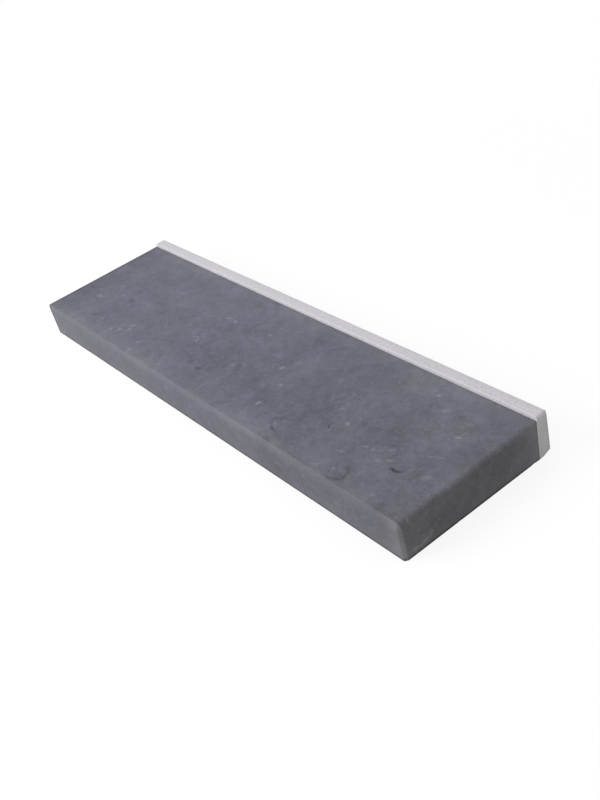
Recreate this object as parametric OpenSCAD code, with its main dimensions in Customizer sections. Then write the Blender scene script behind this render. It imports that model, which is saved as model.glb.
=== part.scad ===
// Stone door sill: a honed bluestone slab with a thin light-grey strip bonded along its back.
//
// X runs along the sill and +Z is up. The weather side, the front, faces -Y, and the strip
// is on the +Y side. The origin is at the centre of the underside of slab and strip together.

/* [Slab] */
// Length of the slab along the door opening
slab_length = 800; // [300:10:2000]
// Depth of the slab from its front face to the strip
slab_depth = 200; // [100:5:400]
// Thickness of the slab
slab_thickness = 50; // [30:1:80]

/* [Dressed arrises] */
// How far the front nose is cut back along the top
nose_depth = 2.5; // [1:0.5:10]
// How far the front nose is cut down the front face
nose_drop = 8; // [1:0.5:14]
// Bevel of the top arris at both ends
end_bevel = 3; // [0.5:0.5:8]
// Bevel of the two upright corners at the front
corner_bevel = 3.5; // [0.5:0.5:10]
// Bevel of the arrises around the underside
bed_bevel = 0.5; // [0.1:0.1:4]

/* [Back strip] */
// Thickness of the strip, measured from the slab's back face
strip_thickness = 15; // [6:1:40]
// How far the strip stands above the top of the slab
strip_upstand = 5; // [0:1:30]
// Bevel of the strip's long arrises, which are clear of the slab
strip_bevel = 0.8; // [0.2:0.1:2]

/* [Hidden] */

slab_color = "#6f7079";
strip_color = "#cbcacf";

// Slab and strip together are centred on the origin in plan.
overall_depth = slab_depth + strip_thickness;
front_y = -overall_depth / 2;
joint_y = front_y + slab_depth;
back_y = front_y + overall_depth;
end_x = slab_length / 2;
strip_top = slab_thickness + strip_upstand;

// A bevel is measured along both faces that meet at a corner.
function square_bevel(size) = [size, size];
// A corner that is left sharp.
sharp = [0, 0];

// The point or points that a corner of an outline becomes. `inward` is the pair of signs
// that lead from the corner into the shape. The point on the upright side comes first.
function cut_corner(corner, bevel, inward) =
    bevel == sharp
        ? [corner]
        : [
            [corner.x, corner.y + inward.y * bevel.y],
            [corner.x + inward.x * bevel.x, corner.y],
        ];

function reversed(list) = [for (i = [len(list) - 1 : -1 : 0]) list[i]];

// A rectangle from corner `low` to corner `high`. `bevels` holds one [across, up] pair for
// each corner, counted round from the low-low one: low-low, high-low, high-high, low-high.
module bevelled_rectangle(low, high, bevels) {
    polygon(concat(
        cut_corner([low.x, low.y], bevels[0], [1, 1]),
        reversed(cut_corner([high.x, low.y], bevels[1], [-1, 1])),
        cut_corner([high.x, high.y], bevels[2], [-1, -1]),
        reversed(cut_corner([low.x, high.y], bevels[3], [1, -1]))
    ));
}

// Turns an outline drawn as [Y, Z] into a bar of the given length, centred along X.
module bar_along_x(length) {
    rotate([90, 0, 90])
        linear_extrude(height = length, center = true)
            children();
}

// Turns an outline drawn as [X, Z] into a bar that reaches from `near` to `far` along Y.
module bar_along_y(near, far) {
    translate([0, far, 0])
        rotate([90, 0, 0])
            linear_extrude(height = far - near)
                children();
}

// The cross-section of the slab: front nose, eased bed arrises and a square back.
module slab_section() {
    bevelled_rectangle([front_y, 0], [joint_y, slab_thickness], [
        square_bevel(bed_bevel),
        sharp,
        sharp,
        [nose_depth, nose_drop],
    ]);
}

// The slab seen from the front: both ends eased along the bed and bevelled along the top.
module slab_elevation() {
    bevelled_rectangle([-end_x, 0], [end_x, slab_thickness], [
        square_bevel(bed_bevel),
        square_bevel(bed_bevel),
        square_bevel(end_bevel),
        square_bevel(end_bevel),
    ]);
}

// The slab seen from above: the two front corners are bevelled, the back ones are square.
module slab_plan() {
    bevelled_rectangle([-end_x, front_y], [end_x, joint_y], [
        square_bevel(corner_bevel),
        square_bevel(corner_bevel),
        sharp,
        sharp,
    ]);
}

// One sawn and honed block, which is what its three outlines have in common.
module stone_slab() {
    color(slab_color)
        intersection() {
            bar_along_x(slab_length) slab_section();
            bar_along_y(front_y, joint_y) slab_elevation();
            linear_extrude(height = slab_thickness) slab_plan();
        }
}

// The strip covers the slab's whole back face and stands above its top.
module back_strip() {
    color(strip_color)
        bar_along_x(slab_length)
            bevelled_rectangle([joint_y, 0], [back_y, strip_top], [
                sharp,
                square_bevel(strip_bevel),
                square_bevel(strip_bevel),
                square_bevel(strip_bevel),
            ]);
}

stone_slab();
back_strip();
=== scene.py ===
"""Stone door sill: a honed slab of blue limestone with a light strip bonded along its back.

Lengths are in metres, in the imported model's frame: +X along the sill, -Y the weather side
with the dressed nose, +Y the strip, +Z up, the underside at zero.
"""

import math

import bpy
import numpy as np
from bpy.props import FloatProperty, FloatVectorProperty, PointerProperty
from bpy.types import Operator, Panel, PropertyGroup
from mathutils import Matrix, Vector


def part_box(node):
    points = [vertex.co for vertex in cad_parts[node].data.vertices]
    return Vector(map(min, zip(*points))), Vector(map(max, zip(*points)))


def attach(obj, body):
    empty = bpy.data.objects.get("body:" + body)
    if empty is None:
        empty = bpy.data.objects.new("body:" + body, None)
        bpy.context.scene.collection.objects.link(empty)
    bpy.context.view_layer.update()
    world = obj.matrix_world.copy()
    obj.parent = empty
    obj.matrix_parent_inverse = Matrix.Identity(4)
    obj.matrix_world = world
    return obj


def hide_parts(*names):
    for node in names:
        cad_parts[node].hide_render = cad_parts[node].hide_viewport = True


bl_info = {
    "name": "Stone Door Sill",
    "version": (1, 0, 0),
    "blender": (4, 5, 0),
    "location": "3D View > Sidebar > Door Sill",
    "description": "A honed stone door sill with a bonded back strip, its finishes and its stage",
    "category": "Add Mesh",
}

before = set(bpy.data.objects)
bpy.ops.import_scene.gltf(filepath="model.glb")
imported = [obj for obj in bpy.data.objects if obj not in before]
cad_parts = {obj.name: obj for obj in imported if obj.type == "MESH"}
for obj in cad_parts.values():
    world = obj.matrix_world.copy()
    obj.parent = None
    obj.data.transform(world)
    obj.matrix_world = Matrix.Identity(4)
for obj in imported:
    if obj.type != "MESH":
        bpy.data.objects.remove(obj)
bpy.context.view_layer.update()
SLAB_LOW, SLAB_HIGH = (np.array(corner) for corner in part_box("stone_slab"))
STRIP_LOW, STRIP_HIGH = (np.array(corner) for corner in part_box("back_strip"))

MM = 0.001


def linear(hex_colour):
    """An sRGB hex colour as linear red, green and blue, by the standard transfer curve."""
    value = int(hex_colour.lstrip("#"), 16)
    parts = [(value >> shift & 255) / 255 for shift in (16, 8, 0)]
    return tuple(c / 12.92 if c <= 0.04045 else ((c + 0.055) / 1.055) ** 2.4 for c in parts)


# ---- Settings ----


class SILL_PG_slab(PropertyGroup):
    """Sizes of the slab's dressed arrises and of its wear."""

    nose_depth: FloatProperty(
        name="Nose Depth", description="Reach of the rounded front nose back along the top",
        default=1.2 * MM, unit="LENGTH",
    )
    nose_drop: FloatProperty(
        name="Nose Drop", description="Reach of the nose down the front face",
        default=12.0 * MM, unit="LENGTH",
    )
    end_bevel: FloatProperty(
        name="End Bevel", description="Bevel of the top arris at the right end",
        default=2.5 * MM, unit="LENGTH",
    )
    corner_front: FloatProperty(
        name="Corner Bevel on Front",
        description="Reach of the right upright corner's bevel along the front",
        default=2.8 * MM, unit="LENGTH",
    )
    corner_end: FloatProperty(
        name="Corner Bevel on End", description="Reach of the same bevel along the end",
        default=3.6 * MM, unit="LENGTH",
    )
    left_share: FloatProperty(
        name="Left Share",
        description="Size of these bevels at the left end, as a share of the right end's",
        default=0.35, min=0.0, max=1.0,
    )
    wear: FloatProperty(
        name="Arris Wear", description="How unevenly the arrises were rubbed down, at most",
        default=0.5 * MM, unit="LENGTH",
    )
    hollow_depth: FloatProperty(
        name="Shell Hollow Depth",
        description="Depth of the crescent left by a shell that fell out of the top",
        default=1.4 * MM, unit="LENGTH",
    )


class SILL_PG_strip(PropertyGroup):
    """Sizes of the strip's edges."""

    arris: FloatProperty(
        name="Arris", description="Bevel of the strip's long arrises and of its back",
        default=0.5 * MM, unit="LENGTH",
    )
    end_arris: FloatProperty(
        name="End Arris", description="Reach of a cut end's rubbed top arris down it",
        default=3.0 * MM, unit="LENGTH",
    )
    waviness: FloatProperty(
        name="Waviness", description="How far the strip's faces wander from flat, at most",
        default=0.15 * MM, unit="LENGTH",
    )
    back_lean: FloatProperty(
        name="Back Lean", description="How far the back face leans in at its foot",
        default=1.2 * MM, unit="LENGTH",
    )
    short: FloatProperty(
        name="Short", description="Length by which the strip is short of the slab's left end",
        default=1.2 * MM, unit="LENGTH",
    )


class SILL_PG_finish(PropertyGroup):
    """Colours and roughness of both materials."""

    blue: FloatVectorProperty(
        name="Blue Stone", description="Honed limestone where it is bluest",
        default=linear("#616171"), subtype="COLOR",
    )
    grey: FloatVectorProperty(
        name="Grey Stone", description="Honed limestone where it is greyest",
        default=linear("#64646b"), subtype="COLOR",
    )
    sawn: FloatVectorProperty(
        name="Sawn Stone", description="The same stone where it was only sawn, at the ends",
        default=linear("#5c5c5f"), subtype="COLOR",
    )
    bed: FloatVectorProperty(
        name="Stone Bed", description="The stone on the rough sawn underside and back, dry and dusty",
        default=linear("#757574"), subtype="COLOR",
    )
    rubbed: FloatVectorProperty(
        name="Rubbed Arris", description="The stone where the arrises were dressed by hand",
        default=linear("#6d6d71"), subtype="COLOR",
    )
    stone_roughness: FloatProperty(
        name="Stone Roughness", description="Roughness of the honed faces", default=0.52, min=0.0, max=1.0
    )
    strip: FloatVectorProperty(
        name="Strip", description="Light grey of the back strip",
        default=linear("#cfccd2"), subtype="COLOR",
    )
    strip_cut: FloatVectorProperty(
        name="Strip Cut", description="The strip where it was cut to length",
        default=linear("#c6c6c7"), subtype="COLOR",
    )
    strip_roughness: FloatProperty(
        name="Strip Roughness", description="Roughness of the back strip", default=0.6, min=0.0, max=1.0
    )


class SILL_PG_stage(PropertyGroup):
    """Camera, lamp and floor."""

    azimuth: FloatProperty(
        name="Azimuth",
        description="Where the camera stands round the sill: 0 looks along +Y, 90 along -X",
        default=math.radians(61.41), subtype="ANGLE",
    )
    elevation: FloatProperty(
        name="Elevation", description="Height of the camera above the floor, as an angle",
        default=math.radians(33.73), subtype="ANGLE",
    )
    roll: FloatProperty(
        name="Roll", description="Clockwise turn of the camera about its own axis",
        default=math.radians(16.26), subtype="ANGLE",
    )
    distance: FloatProperty(
        name="Distance", description="From the camera to its aim", default=1.3380, unit="LENGTH"
    )
    aim: FloatVectorProperty(
        name="Aim", description="Point on the floor in the middle of the view",
        default=(0.0801, 0.0030, 0.0), subtype="TRANSLATION", unit="LENGTH",
    )
    lens: FloatProperty(
        name="Lens", description="Focal length for a 36 mm long side, in millimetres", default=47.91
    )
    lamp_place: FloatVectorProperty(
        name="Lamp Place", description="Where the large soft lamp hangs, turned towards the sill",
        default=(-0.60, -1.35, 1.05), subtype="TRANSLATION", unit="LENGTH",
    )
    lamp_power: FloatProperty(
        name="Lamp Power", description="Power of the large soft lamp", default=20.0, subtype="POWER"
    )
    fill: FloatProperty(
        name="Fill", description="Strength of the even light from all round, where 1 is white",
        default=0.66, min=0.0,
    )


class SILL_PG_settings(PropertyGroup):
    """All of the sill's settings."""

    slab: PointerProperty(type=SILL_PG_slab)
    strip: PointerProperty(type=SILL_PG_strip)
    finish: PointerProperty(type=SILL_PG_finish)
    stage: PointerProperty(type=SILL_PG_stage)


# ---- Shapes ----

FINE_STEPS = 4000
HALVINGS = 18


def spaced_lines(low, high, count, bells):
    """Places of `count` grid lines from low to high.

    Their density is 1 plus boost times exp(-(distance / reach)^2) for each bell (centre,
    reach, boost), and the lines cut the area under it into equal shares.
    """
    fine = np.linspace(low, high, FINE_STEPS + 1)
    density = np.ones_like(fine)
    for centre, reach, boost in bells:
        density += boost * np.exp(-(((fine - centre) / reach) ** 2))
    share = np.concatenate([[0.0], np.cumsum((density[1:] + density[:-1]) / 2)])
    return np.interp(np.linspace(0.0, share[-1], count), share, fine)


def box_skin(lines):
    """The skin of a box as one closed grid, from its grid lines along X, Y and Z.

    Returns the lattice's points on the skin and the quads between them, facing outwards.
    """
    shape = tuple(len(axis_lines) for axis_lines in lines)
    skin = np.zeros(shape, bool)
    skin[[0, -1], :, :] = True
    skin[:, [0, -1], :] = True
    skin[:, :, [0, -1]] = True
    number = np.cumsum(skin.ravel()).reshape(shape) - 1
    lattice = np.stack(np.meshgrid(*lines, indexing="ij"), axis=-1)
    quads = []
    for axis in range(3):
        for end in (0, -1):
            side = np.take(number, end, axis=axis)
            if (end == 0) != (axis == 1):
                side = side.T
            loops = (side[:-1, :-1], side[1:, :-1], side[1:, 1:], side[:-1, 1:])
            quads.append(np.stack(loops, axis=-1).reshape(-1, 4))
    return lattice[skin], np.concatenate(quads)


def smooth_max(one, other, blend):
    """The larger of two distances, and a parabola more where they differ by under `blend`."""
    near = np.maximum(blend - np.abs(one - other), 0.0)
    return np.maximum(one, other) + near * near / (4.0 * blend)


def ripple(places, wavelengths, seed):
    """The mean of one plane wave for each wavelength, in seeded directions and phases."""
    rng = np.random.default_rng(seed)
    total = np.zeros(len(places))
    for wavelength in wavelengths:
        direction = rng.normal(size=3)
        direction *= 2 * math.pi / wavelength / np.linalg.norm(direction)
        total += np.sin(places @ direction + rng.uniform(0, 2 * math.pi))
    return total / len(wavelengths)


def settle(skin, core_low, core_high, form):
    """Slides each point of a box's skin in to the surface where form(points) is zero.

    It moves straight towards the nearest point of the core, a smaller box inside, and its
    place on that line is found by halving, as form is positive outside.
    """
    core = np.clip(skin, core_low, core_high)
    inside = np.zeros(len(skin))
    outside = np.ones(len(skin))
    for _ in range(HALVINGS):
        middle = (inside + outside) / 2
        clear = form(core + middle[:, None] * (skin - core)) > 0
        outside = np.where(clear, middle, outside)
        inside = np.where(clear, inside, middle)
    return core + outside[:, None] * (skin - core)


def bevel(one, other, reach_one, reach_other):
    """Distance outside a bevel's plane between two faces that meet at a right angle.

    one and other are the distances outside the faces, and each face is cut off over its
    own reach from the arris, so the plane is one / reach_other + other / reach_one = -1.
    """
    cut = one * reach_one + other * reach_other + reach_one * reach_other
    return cut / np.hypot(reach_one, reach_other)


# The end bevels shrink to this share of their size at the strip, over this run
END_BEVEL_AT_STRIP = 0.25
END_BEVEL_RUN = 14 * MM
# Bevel of the arrises around the underside
BED_BEVEL = 0.3 * MM
# The corner bevels are this much wider at the foot than at the top
CORNER_SPREAD = 0.05
# Wavelengths of the uneven wear along the arrises, in metres
SLOW_WEAR = (0.31, 0.17, 0.083, 0.047, 0.021)
QUICK_WEAR = (0.026, 0.017, 0.011, 0.0075)
# Seeds of everything that is drawn at random
SLOW_SEED, QUICK_SEED, CHIP_SEED, STRIP_SEED = 11, 12, 29, 5


def slab_planes(places, sizes):
    """Distances of places outside each flat of the slab, by name.

    A face is a half-space. The front is set back under the top by the nose's depth times
    (1 - drop / nose drop)^2, so that it rolls over smoothly. The end bevel shrinks towards
    the strip, and wear moves each bevel inwards by a slow ripple.
    """
    x, y, z = places.T
    top, bed = z - SLAB_HIGH[2], -z
    ends, back = np.abs(x) - SLAB_HIGH[0], y - SLAB_HIGH[1]
    front = SLAB_LOW[1] - y
    slow = 0.5 + 0.5 * ripple(places, SLOW_WEAR, SLOW_SEED)
    quick = ripple(places, QUICK_WEAR, QUICK_SEED)
    share = np.where(x > 0.0, 1.0, sizes.left_share)
    worn = sizes.wear * (slow + 0.5 * quick) * share
    under_nose = np.clip(1.0 + top / sizes.nose_drop, 0.0, 1.0)
    nose = (sizes.nose_depth + worn) * under_nose**2
    from_strip = np.clip(-back / END_BEVEL_RUN, 0.0, 1.0)
    end_bevel = share * sizes.end_bevel
    end_bevel = end_bevel * (END_BEVEL_AT_STRIP + (1.0 - END_BEVEL_AT_STRIP) * from_strip)
    widened = share * (1.0 - CORNER_SPREAD * top / SLAB_HIGH[2])
    on_front, on_end = sizes.corner_front * widened, sizes.corner_end * widened
    return {
        "front": front + nose, "top": top, "bed": bed, "back": back, "ends": ends,
        "end_bevel": bevel(ends, top, end_bevel, end_bevel) + worn * from_strip,
        "corner": bevel(front, ends, on_front, on_end) + 0.5 * worn,
        "bed_front": bevel(front, bed, BED_BEVEL, BED_BEVEL),
        "bed_ends": bevel(ends, bed, BED_BEVEL, BED_BEVEL),
    }


# The flats in the order they are cut, and how softly each joins those before it
SLAB_CUTS = (
    ("top", 2.4 * MM), ("bed", 0.2 * MM), ("back", 0.2 * MM), ("ends", 0.3 * MM), ("bed_front", 0.3 * MM),
    ("bed_ends", 0.3 * MM), ("corner", 0.7 * MM), ("end_bevel", 2.0 * MM),
)

# Knocked corners of the slab: which, how deep it is cut off, and how softly
KNOCKS = (
    ((-1, -1, -1), 1.0 * MM, 1.5 * MM),
    ((1, -1, -1), 0.5 * MM, 0.8 * MM),
    ((1, -1, 1), 2.0 * MM, 1.8 * MM),
    ((-1, -1, 1), 1.2 * MM, 1.5 * MM),
)


def slab_form(places, sizes):
    """Distance outside the worn slab: its flats, joined one after another by smooth_max."""
    planes = slab_planes(places, sizes)
    form = planes["front"]
    for name, blend in SLAB_CUTS:
        form = smooth_max(form, planes[name], blend)
    for corner, depth, blend in KNOCKS:
        signs = np.array(corner)
        tip = np.where(signs > 0, SLAB_HIGH, SLAB_LOW)
        cut = (places - tip) @ signs / math.sqrt(3.0) + depth
        form = smooth_max(form, cut, blend)
    return form


# The crescent: where its arc is centred, from the slab's left end and front face
HOLLOW_CENTRE = np.array((734.5, 67.5)) * MM
HOLLOW_RADIUS = 12.0 * MM
HOLLOW_HALF_WIDTH = 3.6 * MM
HOLLOW_MIDDLE = math.radians(-80)
HOLLOW_SPAN = math.radians(62)


def hollow(places):
    """How deep the crescent is at each place, from 0 to 1.

    It is (1 - d^2)^2 of the distance from an arc in half widths, which fade with the
    angle from the middle of the arc.
    """
    centre = SLAB_LOW[:2] + HOLLOW_CENTRE
    across, along = (places[:, :2] - centre).T
    angle = np.arctan2(along, across) - HOLLOW_MIDDLE
    angle = np.abs((angle + math.pi) % (2 * math.pi) - math.pi)
    fade = np.clip(1.0 - (angle / HOLLOW_SPAN) ** 2, 0.0, 1.0)
    width = HOLLOW_HALF_WIDTH * np.sqrt(fade) + 1e-9
    off = np.clip(np.abs(np.hypot(across, along) - HOLLOW_RADIUS) / width, 0.0, 1.0)
    return fade * (1.0 - off**2) ** 2


CHIP_COUNT = 26
CHIP_RADII = (2.0 * MM, 4.5 * MM)
CHIP_DEPTHS = (0.25 * MM, 0.8 * MM)
# The chipped arrises: the way out along X, Y and Z, 0 along the arris
CHIPPED = ((0, -1, -1), (1, 0, -1), (-1, 0, -1), (1, -1, 0))


def chips():
    """Seeded scallops along the arrises, as (centre, radius) of spheres.

    A centre lies out from its arris, on the diagonal, by the radius less the depth.
    """
    rng = np.random.default_rng(CHIP_SEED)
    made = []
    for _ in range(CHIP_COUNT):
        radius = rng.uniform(*CHIP_RADII)
        depth = rng.uniform(*CHIP_DEPTHS)
        share = rng.uniform(0.02, 0.98)
        place = SLAB_LOW + share * (SLAB_HIGH - SLAB_LOW)
        signs = np.array(CHIPPED[rng.integers(len(CHIPPED))])
        edge = np.where(signs > 0, SLAB_HIGH, np.where(signs < 0, SLAB_LOW, place))
        out = signs / np.linalg.norm(signs)
        made.append((edge + out * (radius - depth), radius))
    return made


def scoop(places, spheres):
    """Pushes each place inside a sphere straight out from its centre, onto it."""
    for centre, radius in spheres:
        away = places - centre
        reach = np.linalg.norm(away, axis=1)
        inside = reach < radius
        places[inside] = centre + away[inside] * (radius / reach[inside])[:, None]
    return places


# Grid lines of each piece along X, Y and Z, and how far inside its core lies
SLAB_GRID = (376, 94, 30)
SLAB_CORE = 14 * MM
STRIP_GRID = (260, 20, 40)
STRIP_CORE = 4 * MM
# A point is on a flat down to the first depth, and no more from the second
ON_FLAT = 0.12 * MM
OFF_FLAT = 0.52 * MM


def slab_surface(sizes):
    """The worn slab: a box grid settled onto slab_form, then hollowed and chipped.

    Returns points, quads and the attributes that its finish reads: `dressed` is 1 on the
    upright corners' bevels, `sawn` is 1 on the ends and 0.4 on the bevels above them,
    `bed` is 1 on the underside and the back, and `hollow` is 1 in the crescent.
    """
    low, high = SLAB_LOW, SLAB_HIGH
    shell = low[:2] + HOLLOW_CENTRE
    bells = (
        ((low[0], 5 * MM, 5.0), (high[0], 5 * MM, 5.0), (shell[0], 11 * MM, 2.0)),
        ((low[1], 5 * MM, 5.0), (high[1], 2 * MM, 3.0), (shell[1] - HOLLOW_RADIUS, 7 * MM, 2.5)),
        ((low[2], 3 * MM, 3.0), (high[2], 9 * MM, 3.0)),
    )
    points, quads = box_skin([spaced_lines(*row) for row in zip(low, high, SLAB_GRID, bells)])
    points = settle(points, low + SLAB_CORE, high - SLAB_CORE, lambda p: slab_form(p, sizes))
    on_top = np.clip(1.0 + (points[:, 2] - high[2]) / MM, 0.0, 1.0)
    points[:, 2] -= sizes.hollow_depth * hollow(points) * on_top
    points = scoop(points, chips())
    on = {}
    for name, out in slab_planes(points, sizes).items():
        on[name] = np.clip((out + OFF_FLAT) / (OFF_FLAT - ON_FLAT), 0.0, 1.0)
    attributes = {
        "dressed": on["corner"],
        "sawn": np.maximum(on["ends"], 0.4 * on["end_bevel"]) * (1.0 - on["corner"]),
        "bed": np.maximum(on["bed"], on["back"]), "hollow": hollow(points) * on_top,
    }
    return points, quads, attributes


def strip_ends(places, sizes):
    """Distance outside the strip's end cuts, of which the left one is a little short."""
    x = places[:, 0]
    return np.maximum(x - STRIP_HIGH[0], STRIP_LOW[0] + sizes.short - x)


# Reach along X, Y and Z of the strip's broken corner, at its right end, back and foot
BROKEN_CORNER = np.array((9.0, 13.0, 4.2)) * MM
# Wavelengths of the strip's wavy faces, in metres
STRIP_WAVES = (0.42, 0.19, 0.11, 0.06)


def strip_form(places, sizes):
    """Distance outside the strip: a bar with bevelled arrises and slightly wavy faces.

    The back leans in by back_lean times (1 - height share)^2. The broken corner is a
    half-space whose plane cuts the three edges there at their reaches.
    """
    y, z = places[:, 1], places[:, 2]
    wave = sizes.waviness * (0.5 + 0.5 * ripple(places, STRIP_WAVES, STRIP_SEED))
    up = np.clip(z / STRIP_HIGH[2], 0.0, 1.0)
    front, back = STRIP_LOW[1] - y, y - STRIP_HIGH[1] + sizes.back_lean * (1.0 - up) ** 2
    top, foot = z - STRIP_HIGH[2], -z
    ends = strip_ends(places, sizes)
    form = smooth_max(front, back + wave, 0.4 * MM)
    for side, blend in ((top, 0.4 * MM), (foot, 0.4 * MM), (ends, 0.6 * MM)):
        form = smooth_max(form, side, blend)
    long_reach, end_reach = (sizes.arris, sizes.arris), (sizes.end_arris, 0.5 * sizes.end_arris)
    for side, cap, reaches in (
        (front, top, long_reach), (back, top, long_reach), (back, foot, long_reach),
        (back, ends, long_reach), (ends, top, end_reach),
    ):
        form = smooth_max(form, bevel(side, cap, *reaches) + wave, 0.6 * MM)
    tip = np.array((STRIP_HIGH[0], STRIP_HIGH[1], STRIP_LOW[2]))
    normal = np.array((1.0, 1.0, -1.0)) / BROKEN_CORNER
    broken = ((places - tip) @ normal + 1.0) / np.linalg.norm(normal)
    return smooth_max(form, broken, 1.0 * MM)


def strip_surface(sizes):
    """The strip: a box grid settled onto strip_form. Its finish reads `cut`, 1 on the ends."""
    low, high = STRIP_LOW, STRIP_HIGH
    bells = (
        ((low[0], 2 * MM, 5.0), (high[0], 2 * MM, 5.0)),
        ((low[1], 1.5 * MM, 2.0), (high[1], 1.5 * MM, 2.0)),
        ((low[2], 2 * MM, 3.0), (high[2], 2 * MM, 4.0)),
    )
    points, quads = box_skin([spaced_lines(*row) for row in zip(low, high, STRIP_GRID, bells)])
    points = settle(points, low + STRIP_CORE, high - STRIP_CORE, lambda p: strip_form(p, sizes))
    cut = 1.0 + strip_ends(points, sizes) / (OFF_FLAT - ON_FLAT)
    return points, quads, {"cut": np.clip(cut, 0.0, 1.0)}


def put(name, data):
    """A new object at the origin, in the scene."""
    made = bpy.data.objects.new(name, data)
    bpy.context.scene.collection.objects.link(made)
    return made


def add_piece(name, surface, material, node):
    """Makes a piece from points, quads and attributes, in place of a CAD node."""
    points, quads, attributes = surface
    mesh = bpy.data.meshes.new(name)
    mesh.from_pydata(points, [], quads)
    for label, values in attributes.items():
        layer = mesh.attributes.new(label, "FLOAT", "POINT")
        layer.data.foreach_set("value", values.astype(np.float32))
    mesh.polygons.foreach_set("use_smooth", np.ones(len(quads), bool))
    mesh.materials.append(material)
    mesh.update()
    if mesh.validate():
        raise RuntimeError(f"{name} came out with faulty faces")
    piece = put(name, mesh)
    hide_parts(node)
    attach(piece, "root")


# ---- Finishes ----


def new_material(name):
    """An empty node material, and its tree."""
    material = bpy.data.materials.new(name)
    material.use_nodes = True
    material.node_tree.nodes.clear()
    return material, material.node_tree


def add(tree, kind, sockets=None, **settings):
    """Adds a node with its settings, and fills its inputs with values or links.

    sockets maps an input's name or number to a number, a colour, an output, or a node,
    which stands for its own first output.
    """
    made = tree.nodes.new("ShaderNode" + kind)
    for name, value in settings.items():
        setattr(made, name, value)
    for name, value in (sockets or {}).items():
        if isinstance(value, bpy.types.Node):
            value = value.outputs[0]
        if isinstance(value, bpy.types.NodeSocket):
            tree.links.new(value, made.inputs[name])
        else:
            made.inputs[name].default_value = value
    return made


# Settings for a Map Range node: its inputs are a value, the two ends of its range, and what
# it becomes there, 0 and 1 unless given. With the higher end first, the value falls.
SMOOTH = {"interpolation_type": "SMOOTHSTEP"}
# Settings for a Mix node of two colours, and for nodes that take away and multiply
COLOURS = {"data_type": "RGBA"}
MINUS = {"operation": "SUBTRACT"}
TIMES = {"operation": "MULTIPLY"}
WHITE = (1.0, 1.0, 1.0, 1.0)


def weighted_sum(tree, terms, start=0.0):
    """start plus the sum of value times weight over the terms (value, weight)."""
    running = start
    for value, weight in terms:
        running = add(tree, "Math", {0: value, 1: weight, 2: running}, operation="MULTIPLY_ADD")
    return running


def centred_noise(tree, place, size, detail, rough, twist=0.0):
    """Fractal noise less its own middle, with patches from `size` metres down."""
    inputs = {"Vector": place, "Scale": 1 / size, "Detail": detail, "Roughness": rough}
    raw = add(tree, "TexNoise", {**inputs, "Distortion": twist})
    return add(tree, "Math", {0: raw, 1: 0.5}, **MINUS)


def warped(tree, place, size, reach):
    """Object coordinates pushed about by up to `reach`, by noise of a size."""
    push = add(tree, "TexNoise", {"Vector": place, "Scale": 1 / size, "Detail": 2.0})
    centred = add(tree, "VectorMath", {0: push.outputs["Color"], 1: (0.5, 0.5, 0.5)}, **MINUS)
    return add(tree, "VectorMath", {0: centred, 1: [2 * reach] * 3, 2: place}, operation="MULTIPLY_ADD")


def edge_bands(tree, place, low, high, table):
    """How far inside each face of a box a place lies, and the bands along its edges.

    A row of the table is a band's name, its face, and how far inside that it is still 1
    and is down to 0, in millimetres.
    """
    axes = add(tree, "SeparateXYZ", {0: place}).outputs
    deep = {}
    for axis, (under, over) in enumerate((("left", "right"), ("front", "back"), ("bed", "top"))):
        for name, outer, inner in (
            (under, axes[axis], float(low[axis])), (over, float(high[axis]), axes[axis])
        ):
            deep[name] = add(tree, "Math", {0: outer, 1: inner}, **MINUS)
    band = {}
    for name, face, full, gone in table:
        inputs = {0: deep[face], 1: gone * MM, 2: full * MM}
        band[name] = add(tree, "MapRange", inputs, **SMOOTH)
    return deep, band


def broken_up(tree, place):
    """1 in patches some 6 mm apart and nearly 0 between them, to break up a shell's rim."""
    raw = add(tree, "TexNoise", {"Vector": place, "Scale": 1 / (6 * MM), "Detail": 1.0})
    return add(tree, "MapRange", {0: raw, 1: 0.42, 2: 0.58, 3: 0.05, 4: 1.0}, **SMOOTH)


def fossils(tree, place, cell, radii, share, shell):
    """Fossils through the stone: an ellipsoid in a share of a Voronoi texture's cells.

    Each is turned and sized at random about its cell's centre. The value is 1 in its
    middle and 0 beyond its rim, or 1 on parts of the rim of a shell. Sizes are in mm.
    """
    cells = add(tree, "TexVoronoi", {"Vector": place, "Scale": 1 / (cell * MM)})
    lots = cells.outputs["Color"]
    local = add(tree, "VectorMath", {0: place, 1: cells.outputs["Position"]}, **MINUS)
    angles = add(tree, "VectorMath", {0: lots, "Scale": 2 * math.pi}, operation="SCALE")
    turned = add(tree, "VectorRotate", {"Vector": local, "Rotation": angles}, rotation_type="EULER_XYZ")
    scaled = add(tree, "VectorMath", {0: turned, 1: [r * MM for r in radii]}, operation="DIVIDE")
    reach = add(tree, "VectorMath", {0: scaled}, operation="LENGTH").outputs["Value"]
    lot = add(tree, "SeparateColor", {0: lots})
    size = add(tree, "MapRange", {0: lot.outputs[1], 3: 0.6, 4: 1.3})
    reach = add(tree, "Math", {0: reach, 1: size}, operation="DIVIDE")
    if shell:
        off = add(tree, "Math", {0: reach, 1: 1.0}, **MINUS)
        off = add(tree, "Math", {0: off}, operation="ABSOLUTE")
        shape = add(tree, "MapRange", {0: off, 1: 0.30, 2: 0.04}, **SMOOTH)
        shape = add(tree, "Math", {0: shape, 1: broken_up(tree, place)}, **TIMES)
    else:
        shape = add(tree, "MapRange", {0: reach, 1: 1.1, 2: 0.4}, **SMOOTH)
    chosen = add(tree, "MapRange", {0: lot.outputs[0], 1: 1.0 - share, 2: 1.0})
    held = add(tree, "Math", {0: chosen, 1: 0.5}, operation="POWER")
    return add(tree, "Math", {0: shape, 1: held}, **TIMES)


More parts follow.
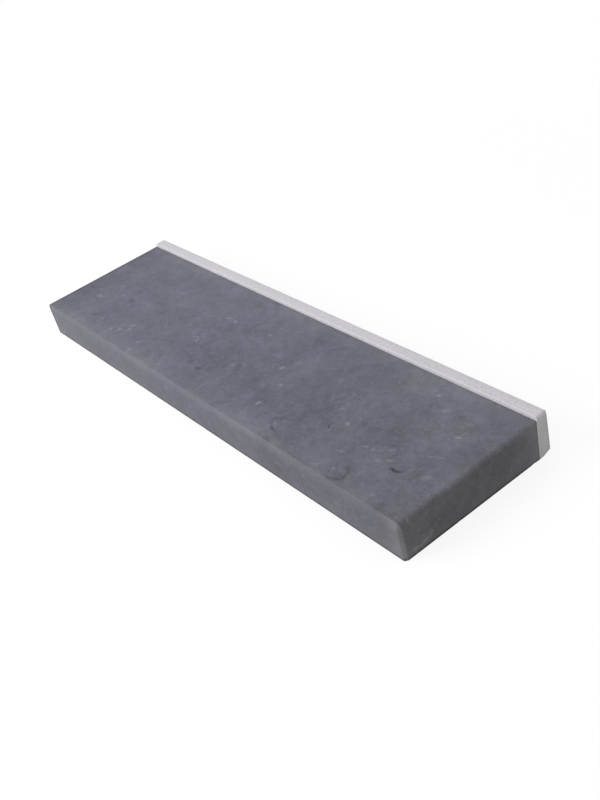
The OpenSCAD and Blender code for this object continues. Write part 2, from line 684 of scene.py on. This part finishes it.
# Marks given one by one, by kind: place, length, width and turn, in millimetres and degrees,
# and strength, pale above zero and dark below. Places count from the left end, or from the
# front on the right end, and then from the front on the top and from the foot elsewhere.
TOP_MARKS = {
    "cloud": (
        (735, 140, 150, 80, 15, 0.15), (650, 175, 110, 50, 0, 0.19), (160, 187, 420, 50, 0, 0.05),
        (300, 150, 200, 90, 0, 0.04), (560, 188, 200, 44, 0, 0.05), (175, 86, 50, 60, 0, 0.07),
        (400, 130, 230, 50, 0, 0.06), (75, 150, 60, 100, 0, 0.06), (45, 14, 110, 40, 0, -0.07),
        (725, 186, 70, 40, 0, 0.06), (775, 104, 40, 40, 0, 0.05), (600, 42, 90, 36, 0, -0.06),
        (700, 10, 110, 30, 0, 0.05), (690, 190, 170, 50, 0, 0.1), (440, 60, 330, 60, 4, -0.12),
        (475, 42, 60, 50, 0, -0.08), (325, 70, 70, 130, 0, -0.09), (570, 145, 90, 60, 30, -0.1),
        (575, 85, 70, 170, 10, -0.12), (460, 165, 45, 40, 0, -0.04), (700, 102, 62, 34, -30, -0.12),
        (22, 96, 80, 220, 0, -0.21), (125, 95, 60, 60, 0, -0.1), (250, 20, 140, 56, 0, 0.14),
        (512, 6, 130, 40, 0, 0.22), (785, 168, 60, 80, 0, -0.18), (757, 153, 34, 18, 10, -0.24),
        (650, 158, 110, 34, 0, 0.06), (790, 8, 26, 16, 0, -0.12), (584, 37, 24, 16, 0, -0.07),
        (712, 2, 170, 6, 0, -0.08),
    ),
    "fleck": (
        (631, 78, 11, 7, -20, 0.65), (506, 41, 10, 8, 70, 0.8), (471, 104, 13, 9, 60, 0.6),
        (466, 152, 10, 5, 80, 0.4), (499, 80, 9, 5, 60, 0.65), (407, 72, 14, 8, 30, 0.4),
        (304, 136, 16, 5, 25, 0.55), (320, 136, 15, 5, -10, 0.55), (395, 141, 10, 5, -30, 0.4),
        (59, 62, 17, 8, 0, 0.55), (41, 74, 13, 8, 0, 0.4), (96, 84, 13, 5, 20, 0.4),
        (86, 77, 10, 5, 0, 0.3), (236, 27, 10, 7, 30, 0.4), (240, 10, 11, 5, 10, 0.5),
        (165, 23, 9, 7, 20, 0.45), (679, 174, 8, 7, 60, 0.7), (752, 132, 12, 4, 15, 0.7),
        (719, 63, 10, 6, 40, 0.6), (708, 76, 13, 6, 60, 0.32), (762, 98, 12, 5, 20, 0.32),
        (748, 92, 9, 4, 0, 0.28), (783, 53, 7, 3, -40, -0.32), (750, 67, 10, 5, 60, 0.3),
        (772, 67, 16, 12, 30, 0.32), (745, 154, 20, 8, 10, 0.3), (706, 158, 14, 8, 60, 0.35),
        (180, 29, 9, 8, 0, 0.42), (184, 39, 8, 6, 0, 0.2), (192, 48, 10, 6, 20, 0.36),
        (565, 38, 9, 6, 40, 0.28), (570, 30, 7, 5, 0, 0.25), (556, 29, 6, 5, 0, 0.25),
        (664, 10, 12, 4, -39, -0.25), (690, 28, 9, 5, -20, -0.2), (701, 28, 7, 5, 0, -0.22),
        (678, 18, 10, 5, -39, 0.36), (689, 20, 9, 4, 37, 0.34), (685, 8, 9, 6, 0, 0.28),
        (708, 56, 8, 8, 0, 0.27), (725, 20, 9, 8, 0, 0.28), (745, 16, 11, 7, 37, 0.3),
        (698, 69, 11, 4, 37, 0.24), (731, 55, 10, 8, 0, -0.24), (680, 64, 9, 5, 30, 0.45),
        (690, 65, 8, 7, 0, 0.32), (664, 42, 10, 7, 45, 0.4), (655, 11, 16, 6, 30, 0.22),
        (616, 62, 7, 3, -45, -0.58), (621, 58, 6, 4, -45, 0.35), (657, 100, 4, 3, 0, -0.5),
        (372, 40, 13, 8, 20, -0.36), (350, 42, 22, 12, 0, -0.18), (122, 82, 19, 10, -20, -0.26),
        (102, 30, 17, 10, 10, -0.26),
    ),
    "ring": (
        (597, 97, 20, 15, 20, 0.65), (184, 37, 28, 18, 20, 0.42), (561, 29, 29, 17, -36, -0.24),
        (688, 17, 26, 25, 10, -0.22),
    ),
    "arc": (
        (305, 77, 17, 13, -10, 0.5), (561, 29, 29, 17, 144, -0.2), (688, 17, 27, 24, -120, -0.11),
    ),
}
END_MARKS = {
    "cloud": (
        (31, 38, 18, 12, 0, 0.16), (18, 9, 44, 18, 10, 0.16), (150, 14, 40, 14, 10, 0.12),
        (168, 24, 26, 30, 0, 0.1), (107, 34, 80, 70, 0, 0.08),
    ),
    "fleck": (
        (15, 8, 11, 6, 0, 0.6), (23, 7, 9, 5, 10, 0.4), (30, 9, 10, 6, 20, 0.6),
        (38, 14, 8, 11, -10, 0.52), (46, 18, 4, 9, 0, 0.4), (13, 19, 6, 9, 0, -0.14),
    ),
}
FRONT_MARKS = {
    "cloud": (
        (170, 20, 250, 60, 0, -0.14), (690, 8, 260, 40, 0, 0.08), (520, 24, 230, 60, 0, -0.16),
        (300, 16, 170, 34, 0, -0.06), (6, 26, 70, 80, 0, 0.2), (120, 49, 360, 24, 0, -0.08),
        (530, 48, 240, 24, 0, 0.07),
    ),
    "fleck": (
        (642, 33, 12, 7, 20, 0.3), (645, 19, 9, 7, 0, -0.2),
    ),
}
# Greyer patches of the top
HUE_MARKS = {
    "cloud": (
        (785, 14, 60, 56, 0, 0.36), (560, 12, 50, 30, 0, 0.3), (60, -10, 280, 60, 0, 0.22),
    ),
}
# How far the marks reach into the stone, and at how many half sizes they have faded out
MARK_DEPTH = 6 * MM
CLOUD_DEPTH = 120 * MM
MARK_FADE = 1.3


def placed_marks(tree, place, marks, origin, start=0.0):
    """start plus the strength of each of the marks on one face, where it lies.

    place has the axes along, across and out of the face, and origin is where the marks
    are counted from. A fleck fades from its middle, and a cloud does so more softly. A
    ring follows parts of its rim, and an arc is half of one.
    """
    broken = broken_up(tree, place)
    running = start
    for kind, along, across, length, width, turn, strength in (
        (kind, *row) for kind, rows in marks.items() for row in rows
    ):
        depth = CLOUD_DEPTH if kind == "cloud" else MARK_DEPTH
        half = MARK_FADE / 2 * MM
        inputs = {
            "Vector": place, "Location": (origin[0] + along * MM, origin[1] + across * MM, origin[2]),
            "Rotation": (0.0, 0.0, math.radians(turn)),
            "Scale": (half * length, half * width, MARK_FADE * depth),
        }
        local = add(tree, "Mapping", inputs, vector_type="TEXTURE")
        # It is 1 in the middle of the mark, and 0 where that has faded out
        near = add(tree, "TexGradient", {"Vector": local}, gradient_type="SPHERICAL").outputs["Fac"]
        if kind == "fleck":
            shape = add(tree, "MapRange", {0: near, 1: 0.12, 2: 0.85}, **SMOOTH)
        elif kind == "cloud":
            shape = add(tree, "MapRange", {0: near}, **SMOOTH)
        else:
            off = add(tree, "Math", {0: near, 1: 0.35}, **MINUS)
            off = add(tree, "Math", {0: off}, operation="ABSOLUTE")
            rim = add(tree, "MapRange", {0: off, 1: 0.25, 2: 0.04}, **SMOOTH)
            kept = broken
            if kind == "arc":
                far = add(tree, "SeparateXYZ", {0: local}).outputs["Y"]
                kept = add(tree, "MapRange", {0: far, 1: -0.15, 2: 0.15}, **SMOOTH)
            shape = add(tree, "Math", {0: rim, 1: kept}, **TIMES)
        # Summed at once, as a shader can hold few values at a time
        running = weighted_sum(tree, ((shape, strength),), running)
    return running


# Bands along the edges, for edge_bands. The nose band carries a painted highlight and the foot
# band painted shade; the bands that pale the top along its front and beside the strip, and the
# ends and the foot, carry painted light
STONE_BANDS = (
    ("upright", "front", 2.0, 3.5), ("nose", "top", 3.0, 13.0), ("lit_front_band", "front", 3.0, 26.0),
    ("near_right", "right", 4.0, 30.0), ("left_edge", "left", 4.8, 9.0), ("by_end", "right", 3.5, 12.0),
    ("bead", "back", 0.5, 1.3), ("by_nose", "front", 3.0, 16.0), ("by_strip", "back", 2.0, 26.0),
    ("dusty", "back", 2.0, 12.0), ("by_corner", "front", 4.0, 6.5), ("painted_light_back", "back", 0.0, 66.0),
    ("painted_light_front", "front", 4.0, 95.0), ("lit_grey_foot", "bed", 0.0, 24.0), ("foot", "bed", 1.8, 3.6),
)
# How much greyer some of the bands are
GREY_BANDS = {"by_nose": 0.30, "by_strip": 0.30, "dusty": 0.20, "lit_grey_foot": 0.40, "by_end": 0.45}
STRIP_BANDS = (("foot", "bed", 0.0, 9.0), ("lip", "front", 0.3, 0.7), ("grubby", "back", 1.6, 3.2))
# The usual IOR of stone and polymer, with little of their gloss
STONE_GLOSS = {"IOR": 1.5, "Specular IOR Level": 0.25}
STRIP_GLOSS = {"IOR": 1.5, "Specular IOR Level": 0.35}
# How far the adhesive has spread over the end, at its top and its foot
ADHESIVE_TOP = 1.2 * MM
ADHESIVE_FOOT = 3.6 * MM
# Scattered fossils: cell, radii, share, if only the rim shows, strength
FOSSILS = (
    (13, (3.4, 1.5, 2.2), 0.50, False, 0.42), (7, (1.6, 1.0, 1.2), 0.45, False, 0.42),
    (16, (2.6, 1.4, 1.8), 0.40, False, -0.34), (27, (7.0, 5.0, 6.0), 0.60, True, 0.26),
)


def honed_blue_limestone(finish):
    """Blue limestone, sawn to size and honed on its top and front.

    Honing leaves a soft sheen over fine crystals: cloudy grey-blue, with pale fossil
    flecks, a few shell outlines and small pits. Sawn ends are flatter and more neutral,
    and hand-rubbed arrises are paler. The bed and back are dusty, with the saw's arcs.
    """
    material, tree = new_material("honed_blue_limestone")
    place = add(tree, "TexCoord").outputs["Object"]
    dressed, sawn, bed, hollow_shade = (
        add(tree, "Attribute", attribute_name=name).outputs["Fac"]
        for name in ("dressed", "sawn", "bed", "hollow")
    )
    deep, band = edge_bands(tree, place, SLAB_LOW, SLAB_HIGH, STONE_BANDS)

    # Mud clouds run from half a hand's width down to a few millimetres
    clouds = centred_noise(tree, place, 50 * MM, 4.0, 0.72, 0.4)
    mottle = centred_noise(tree, place, 11 * MM, 2.0, 0.6, 0.8)
    # Crystals are about 0.4 mm; they are drawn at 2 mm so that they show
    grain = centred_noise(tree, place, 2.0 * MM, 2.0, 0.7)
    gently = warped(tree, place, 3 * MM, 0.9 * MM)
    natural = warped(tree, warped(tree, place, 9 * MM, 2.6 * MM), 3 * MM, 0.9 * MM)
    marks = placed_marks(tree, natural, TOP_MARKS, (*SLAB_LOW[:2], SLAB_HIGH[2]), 1.05)
    on_front = add(tree, "Math", {0: band["upright"], 1: sawn}, use_clamp=True, **MINUS)
    # The front is more mottled than the top, but even where its nose is rubbed
    worn = add(tree, "Math", {0: on_front, 1: band["nose"]}, **TIMES)
    strength = weighted_sum(tree, ((on_front, 0.08), (worn, -0.53)), 1.0)
    texture = weighted_sum(tree, ((clouds, 1.10), (mottle, 0.76), (grain, 0.76)))
    # The crescent hollow is darkened with painted shade, over its real dip
    terms = [(texture, strength), (hollow_shade, -0.54)]
    terms += [(fossils(tree, natural, *kind), weight) for *kind, weight in FOSSILS]

    # The top is paler towards the front on the left, painted light
    leftwards = add(
        tree, "MapRange", {0: deep["right"], 1: 250 * MM, 2: 650 * MM, 3: 0.1, 4: 1.0}, **SMOOTH
    )
    lit_front_band = add(tree, "Math", {0: band["lit_front_band"], 1: leftwards}, **TIMES)
    corner_line = add(tree, "Math", {0: band["by_corner"], 1: dressed}, **MINUS)
    # The nose's arris is rubbed smooth in places, so darker and greyer there
    worst = add(tree, "Math", {0: deep["front"], 1: deep["top"]}, operation="MAXIMUM")
    arris = add(tree, "MapRange", {0: worst, 1: 2.6 * MM, 2: 0.6 * MM}, **SMOOTH)
    patchy = centred_noise(tree, place, 14 * MM, 3.0, 0.7)
    rubbed_share = add(tree, "MapRange", {0: patchy, 1: -0.12, 2: 0.12, 3: 0.25, 4: 1.0})
    arris = add(tree, "Math", {0: arris, 1: rubbed_share}, **TIMES)
    # The top is paler near the strip, painted light that lifts the shade beside it
    terms += [
        (lit_front_band, 0.14), (arris, -0.08), (band["by_strip"], 0.17), (band["bead"], 0.45), (dressed, 0.22)
    ]

    # The honed front: a little darker all over, painted shade, and paler towards the right corner.
    # It is paler towards the nose, a painted highlight where the nose rolls over into the light,
    # a little paler near the floor, painted light, and dark along its foot, painted shade
    axes = add(tree, "SeparateXYZ", {0: gently}).outputs
    front_place = add(tree, "CombineXYZ", {0: axes[0], 1: axes[2], 2: axes[1]})
    front = placed_marks(tree, front_place, FRONT_MARKS, (SLAB_LOW[0], 0.0, SLAB_LOW[1]), -0.11)
    front_terms = (
        (band["nose"], 0.20), (band["near_right"], 0.18), (band["lit_grey_foot"], 0.04), (band["foot"], -0.82)
    )
    front = weighted_sum(tree, front_terms, front)
    # The sawn ends are paler near the strip, the front and the floor, painted light, and darker
    # along the foot, painted shade. They are dirty along the adhesive that has spread from the joint
    spread = add(
        tree, "MapRange",
        {0: deep["bed"], 1: 0.0, 2: float(SLAB_HIGH[2]), 3: ADHESIVE_FOOT, 4: ADHESIVE_TOP},
    )
    off_joint = add(tree, "Math", {0: deep["back"], 1: spread}, **MINUS)
    joint = add(tree, "MapRange", {0: off_joint, 1: 1.8 * MM, 2: 0.6 * MM}, **SMOOTH)
    adhesive = add(tree, "MapRange", {0: off_joint, 1: 0.1 * MM, 2: -0.3 * MM}, **SMOOTH)
    adhesive = add(tree, "Math", {0: adhesive, 1: sawn}, **TIMES)
    end_place = add(tree, "CombineXYZ", {0: axes[1], 1: axes[2], 2: axes[0]})
    ends = placed_marks(tree, end_place, END_MARKS, (SLAB_LOW[1], 0.0, SLAB_HIGH[0]))
    end_terms = (
        (band["painted_light_back"], 0.48), (band["painted_light_front"], 0.16), (band["lit_grey_foot"], 0.16),
        (band["foot"], -1.05), (joint, -0.60), (corner_line, -0.16),
    )
    ends = weighted_sum(tree, end_terms, ends)
    # A dark line follows the sharp arrises of the left end, on the top and the front
    rough_sawn = add(tree, "Math", {0: bed, 1: sawn}, operation="MAXIMUM")
    honed = add(tree, "Math", {0: 1.0, 1: rough_sawn}, **MINUS)
    left_edge = add(tree, "Math", {0: band["left_edge"], 1: honed}, **TIMES)
    terms += [(front, on_front), (ends, sawn), (left_edge, -0.42)]
    tone = weighted_sum(tree, terms, marks)
    tone = add(tree, "Math", {0: tone, 1: 0.15}, operation="MAXIMUM")

    # Bluer and greyer patches, greyer towards the right end and on pale fossils
    hue = centred_noise(tree, place, 70 * MM, 3.0, 0.6, 0.8)
    rightwards = add(tree, "MapRange", {0: deep["right"], 1: 0.0, 2: 350 * MM, 3: 0.33, 4: 0.0}, **SMOOTH)
    greyness = placed_marks(tree, place, HUE_MARKS, (*SLAB_LOW[:2], SLAB_HIGH[2]), -0.43)
    grey_terms = [
        (hue, 1.2), (marks, 0.60), (rightwards, 1.0), (on_front, -0.20), (worn, 0.30), (lit_front_band, 0.15),
        (arris, 0.35),
    ]
    grey_terms += [(band[name], share) for name, share in GREY_BANDS.items()]
    greyness = weighted_sum(tree, grey_terms, greyness)
    inputs = {0: greyness, 6: (*finish.blue, 1.0), 7: (*finish.grey, 1.0)}
    body = add(tree, "Mix", inputs, **COLOURS).outputs[2]
    corner = add(tree, "Math", {0: on_front, 1: band["near_right"]}, **TIMES)
    corner = weighted_sum(tree, ((corner, 0.6),), dressed)
    for share, colour in ((sawn, finish.sawn), (bed, finish.bed), (corner, finish.rubbed)):
        body = add(tree, "Mix", {0: share, 6: body, 7: (*colour, 1.0)}, **COLOURS).outputs[2]
    toned = add(tree, "VectorMath", {0: body, "Scale": tone}, operation="SCALE")
    inputs = {0: adhesive, 6: toned, 7: (*finish.strip_cut, 1.0)}
    coloured = add(tree, "Mix", inputs, **COLOURS).outputs[2]
    rough_terms = ((clouds, 0.25), (mottle, 0.20), (sawn, 0.12), (bed, 0.25), (dressed, 0.08))
    rough = weighted_sum(tree, rough_terms, finish.stone_roughness)

    # A saw blade about a metre across leaves arcs 5 mm apart, of 20 to a texture's length
    inputs = {"Vector": place, "Scale": 1 / (20 * 5 * MM), "Distortion": 1.5, "Detail": 1.0}
    sawing = add(tree, "TexWave", inputs, wave_type="RINGS", rings_direction="Z")
    sawing = add(tree, "Math", {0: sawing, 1: bed}, **TIMES)
    height = weighted_sum(tree, ((grain, 0.5), (mottle, 0.4), (sawing, 0.5)))
    bump = add(tree, "Bump", {"Height": height, "Distance": 0.25 * MM, "Strength": 1.0})
    inputs = {"Base Color": coloured, "Roughness": rough, "Normal": bump, **STONE_GLOSS}
    surface = add(tree, "BsdfPrincipled", inputs)
    add(tree, "OutputMaterial", {"Surface": surface})
    return material


def matte_grey_strip(finish):
    """Rigid light-grey polymer strip, extruded and cut to length.

    Extrusion leaves faint lines along it and a dull skin with a fine speckle. Its cut
    ends are duller and more neutral.
    """
    material, tree = new_material("matte_grey_strip")
    place = add(tree, "TexCoord").outputs["Object"]
    cut = add(tree, "Attribute", attribute_name="cut").outputs["Fac"]
    deep, band = edge_bands(tree, place, STRIP_LOW, STRIP_HIGH, STRIP_BANDS)
    drawn_out = add(tree, "Mapping", {"Vector": place, "Scale": (0.02, 1.0, 1.0)})
    lines = centred_noise(tree, drawn_out, 2.5 * MM, 2.0, 0.5)
    speckle = centred_noise(tree, place, 2.6 * MM, 2.0, 0.8)
    clouds = centred_noise(tree, place, 60 * MM, 2.0, 0.5)
    hue = centred_noise(tree, place, 28 * MM, 2.0, 0.5)
    # The front lip is paler, painted light where it faces the lamp, with a faint line drawn along the
    # strip near the back
    off_line = add(tree, "Math", {0: deep["back"], 1: 3.6 * MM}, **MINUS)
    off_line = add(tree, "Math", {0: off_line}, operation="ABSOLUTE")
    line = add(tree, "MapRange", {0: off_line, 1: 1.8 * MM, 2: 0.3 * MM}, **SMOOTH)
    # The back upright arris of a cut end is grubby
    grubby = add(tree, "Math", {0: band["grubby"], 1: cut}, **TIMES)
    scrape = add(tree, "Mapping", {"Vector": place, "Scale": (0.12, 1.0, 1.0)})
    scrapes = centred_noise(tree, scrape, 6 * MM, 3.0, 0.7, 0.6)
    scrapes = add(tree, "MapRange", {0: scrapes, 1: 0.10, 2: 0.22}, **SMOOTH)
    terms = (
        (lines, 0.14), (speckle, 0.66), (clouds, 0.03), (band["foot"], -0.04), (scrapes, -0.07),
        (band["lip"], 0.09), (line, -0.04), (grubby, -0.10),
    )
    tone = weighted_sum(tree, terms, 1.0)
    mauve = add(tree, "MapRange", {0: hue, 1: -0.1, 2: 0.1, 4: 0.25}, **SMOOTH)
    neutral = add(tree, "Math", {0: mauve, 1: cut}, operation="MAXIMUM")
    inputs = {0: neutral, 6: (*finish.strip, 1.0), 7: (*finish.strip_cut, 1.0)}
    body = add(tree, "Mix", inputs, **COLOURS).outputs[2]
    toned = add(tree, "VectorMath", {0: body, "Scale": tone}, operation="SCALE")
    rough = weighted_sum(tree, ((speckle, 0.2), (cut, 0.15)), finish.strip_roughness)
    bump = add(tree, "Bump", {"Height": speckle, "Distance": 0.10 * MM, "Strength": 1.0})
    inputs = {"Base Color": toned, "Roughness": rough, "Normal": bump, **STRIP_GLOSS}
    surface = add(tree, "BsdfPrincipled", inputs)
    add(tree, "OutputMaterial", {"Surface": surface})
    return material


# ---- Stage ----


def seen_directly(tree):
    """1 for rays from the camera, off a mirror or through glass, and 0 for the rest."""
    path = add(tree, "LightPath")
    seen = path.outputs["Is Camera Ray"]
    for name in ("Is Glossy Ray", "Is Transmission Ray"):
        seen = add(tree, "Math", {0: seen, 1: path.outputs[name]}, operation="MAXIMUM")
    return seen


# Where the floor is seen, this much of its white is glow and the rest takes shadows
FLOOR_GLOW = 0.84
FLOOR_VEIL = 0.19
# The shadows fade out between these distances from the middle of the floor
FADE_START = 0.45
FADE_END = 1.0


def pale_floor():
    """Plain matt floor, which shows as white apart from the sill's soft shadow."""
    material, tree = new_material("pale_floor")
    inputs = {"Base Color": (0.5, 0.5, 0.5, 1.0), "Roughness": 0.9, "Specular IOR Level": 0.0}
    matt = add(tree, "BsdfPrincipled", inputs)
    place = add(tree, "TexCoord").outputs["Object"]
    away = add(tree, "VectorMath", {0: place}, operation="LENGTH").outputs["Value"]
    lift, rest = (
        add(tree, "MapRange", {0: away, 1: FADE_START, 2: FADE_END, 3: near, 4: far}, **SMOOTH)
        for near, far in ((FLOOR_GLOW, 1.0), (FLOOR_VEIL, 0.0))
    )
    glow = add(tree, "Emission", {"Color": WHITE, "Strength": lift})
    veil = add(tree, "BsdfDiffuse", {"Color": rest})
    shown = add(tree, "AddShader", {0: glow, 1: veil})
    either = add(tree, "MixShader", {0: seen_directly(tree), 1: matt, 2: shown})
    add(tree, "OutputMaterial", {"Surface": either})
    return material


def light_world(fill):
    """An even world: white where it is seen or mirrored, and `fill` as light."""
    world = bpy.data.worlds.new("studio")
    world.use_nodes = True
    tree = world.node_tree
    tree.nodes.clear()
    strength = add(tree, "MapRange", {0: seen_directly(tree), 3: fill, 4: 1.0})
    back = add(tree, "Background", {"Color": WHITE, "Strength": strength})
    add(tree, "OutputWorld", {"Surface": back})
    bpy.context.scene.world = world


FLOOR_HALF = 6.0
FLOOR_GAP = 0.2 * MM


def lay_floor():
    """A square floor just under the sill, so that no two faces share a plane."""
    corners = ((-1, -1), (1, -1), (1, 1), (-1, 1))
    points = [(x * FLOOR_HALF, y * FLOOR_HALF, -FLOOR_GAP) for x, y in corners]
    mesh = bpy.data.meshes.new("floor")
    mesh.from_pydata(points, [], [(0, 1, 2, 3)])
    mesh.materials.append(pale_floor())
    put("floor", mesh)


LAMP_SIDE = 1.2


def hang_lamp(place, power):
    """A large square lamp, turned towards the sill."""
    lamp = bpy.data.lights.new("lamp", "AREA")
    lamp.shape = "SQUARE"
    lamp.size = LAMP_SIDE
    lamp.energy = power
    hung = put("lamp", lamp)
    hung.location = place
    hung.rotation_euler = (-place).to_track_quat("-Z", "Y").to_euler()


def place_camera(stage):
    """Stands the camera off its aim by azimuth, elevation and distance, then rolls it."""
    turn = Matrix.Rotation(stage.azimuth, 4, "Z")
    tilt = Matrix.Rotation(math.pi / 2 - stage.elevation, 4, "X")
    roll = Matrix.Rotation(-stage.roll, 4, "Z")
    back = Matrix.Translation((0.0, 0.0, stage.distance))
    data = bpy.data.cameras.new("camera")
    data.lens = stage.lens
    camera = put("camera", data)
    camera.matrix_world = Matrix.Translation(stage.aim) @ turn @ tilt @ roll @ back
    bpy.context.scene.camera = camera


# ---- Operators and panel ----


class SILL_OT_stone_slab(Operator):
    """Build the worn stone slab with its dressed arrises and honed finish"""

    bl_idname = "door_sill.stone_slab"
    bl_label = "Stone Slab"

    def execute(self, context):
        settings = context.scene.door_sill
        surface = slab_surface(settings.slab)
        material = honed_blue_limestone(settings.finish)
        add_piece("honed_slab", surface, material, "stone_slab")
        return {"FINISHED"}


class SILL_OT_back_strip(Operator):
    """Build the light strip along the back of the slab"""

    bl_idname = "door_sill.back_strip"
    bl_label = "Back Strip"

    def execute(self, context):
        settings = context.scene.door_sill
        surface = strip_surface(settings.strip)
        material = matte_grey_strip(settings.finish)
        add_piece("upstand_strip", surface, material, "back_strip")
        return {"FINISHED"}


class SILL_OT_stage(Operator):
    """Set up the floor, the light and the camera"""

    bl_idname = "door_sill.stage"
    bl_label = "Stage"

    def execute(self, context):
        stage = context.scene.door_sill.stage
        context.scene.view_settings.view_transform = "Standard"
        lay_floor()
        light_world(stage.fill)
        hang_lamp(Vector(stage.lamp_place), stage.lamp_power)
        place_camera(stage)
        return {"FINISHED"}


class SILL_PT_panel(Panel):
    """Lists the sill's pieces and its settings"""

    bl_label = "Door Sill"
    bl_idname = "SILL_PT_panel"
    bl_space_type = "VIEW_3D"
    bl_region_type = "UI"
    bl_category = "Door Sill"

    def draw(self, context):
        settings = context.scene.door_sill
        groups = (
            (SILL_OT_stone_slab, (settings.slab, settings.finish)),
            (SILL_OT_back_strip, (settings.strip,)), (SILL_OT_stage, (settings.stage,)),
        )
        for operator, shown in groups:
            box = self.layout.box()
            box.operator(operator.bl_idname)
            for group in shown:
                for name in group.__annotations__:
                    box.prop(group, name)


CLASSES = (
    SILL_PG_slab, SILL_PG_strip, SILL_PG_finish, SILL_PG_stage, SILL_PG_settings, SILL_OT_stone_slab,
    SILL_OT_back_strip, SILL_OT_stage, SILL_PT_panel,
)


def register():
    for one in CLASSES:
        bpy.utils.register_class(one)
    bpy.types.Scene.door_sill = PointerProperty(type=SILL_PG_settings)


def unregister():
    del bpy.types.Scene.door_sill
    for one in reversed(CLASSES):
        bpy.utils.unregister_class(one)


def main():
    register()
    bpy.ops.door_sill.stone_slab()
    bpy.ops.door_sill.back_strip()
    bpy.ops.door_sill.stage()


if __name__ == "__main__":
    main()
